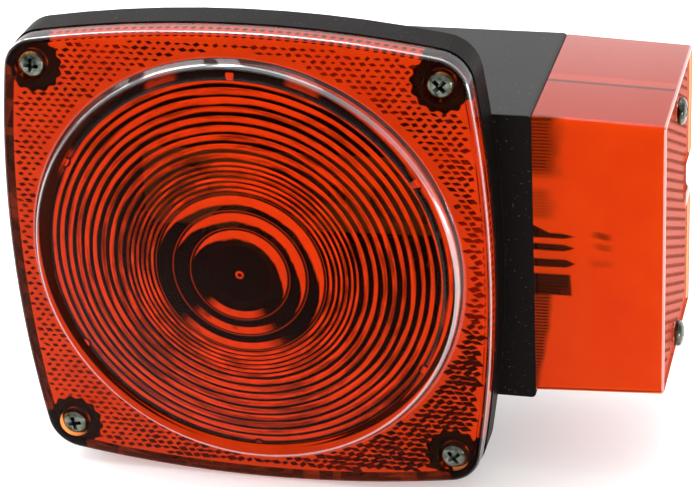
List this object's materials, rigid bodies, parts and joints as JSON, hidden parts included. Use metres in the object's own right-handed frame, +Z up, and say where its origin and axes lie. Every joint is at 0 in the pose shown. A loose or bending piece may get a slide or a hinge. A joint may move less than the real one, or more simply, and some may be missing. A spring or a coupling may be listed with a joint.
{
  "type": "trailer tail light",
  "caption": "Trailer tail light: bulged square red lens with a ribbed round optic on a shallow black cup, with a red box side marker and rear mounting studs.",
  "frame": {"origin": "on the flat rear mounting face, midway between the two mounting studs", "axes": "+X towards the side marker lens, the main lens faces -Y, the studs point to +Y, +Z up"},
  "size_m": [0.1636, 0.0955, 0.1226],
  "materials": {
    "black_housing": "fine-grained moulded black",
    "red_lens": "transparent red, polished",
    "gasket": "closed-cell foam",
    "screw_zinc": "bright plated",
    "plated_steel": "yellow zinc plated",
    "zinc_fasteners": "clear zinc plated",
    "spring_steel": "bright wire",
    "phenolic": "pressed paper laminate",
    "brass": "stamped",
    "bulb_glass": "clear",
    "black_insulator": "moulded",
    "solder": "dull",
    "filament_wire": "drawn",
    "brown_lead": "extruded insulation",
    "white_lead": "extruded insulation",
    "splice_sleeve": "smooth sleeve",
    "grommet_rubber": "soft"
  },
  "bodies": {
    "housing": {"housing_body": "black_housing", "main_lens": "red_lens", "main_lens_gasket": "gasket", "main_lens_screws": "screw_zinc", "side_lens": "red_lens", "side_lens_gasket": "gasket", "side_lens_screws": "screw_zinc", "mounting_bracket": "plated_steel", "mounting_studs": "zinc_fasteners", "stud_flat_washers": "zinc_fasteners", "stud_lock_washers": "zinc_fasteners", "stud_nuts": "zinc_fasteners", "socket_shell": "plated_steel", "socket_rivets": "zinc_fasteners", "contact_spring": "spring_steel", "marker_bulb_holder": "black_insulator", "marker_bulb_clips": "brass", "marker_bulb_glass": "bulb_glass", "marker_bulb_filament": "filament_wire", "marker_feed_lead": "brown_lead", "marker_ground_lead": "white_lead", "feed_splice": "splice_sleeve", "ground_terminal": "brass", "wire_grommet": "grommet_rubber"},
    "main_bulb": {"main_bulb_glass": "bulb_glass", "main_bulb_base": "brass", "main_bulb_insulator": "black_insulator", "main_bulb_contacts": "solder", "main_bulb_stem": "bulb_glass", "main_bulb_filaments": "filament_wire"},
    "contact_plate": {"contact_carrier": "phenolic", "contact_buttons": "brass"}
  },
  "joints": [
    {"name": "main_bulb_push", "type": "slide", "parent": "housing", "child": "main_bulb", "axis": [0, 1, 0], "range_m": [0, 0.002], "stiffness_N_per_m": 2500, "springref_m": -0.003},
    {"name": "contact_plate_push", "type": "slide", "parent": "housing", "child": "contact_plate", "axis": [0, 1, 0], "range_m": [0, 0.002], "deforming": ["contact_spring"]}
  ],
  "couplings": [
    {"joint": "contact_plate_push", "follows": "main_bulb_push", "ratio": 1}
  ]
}
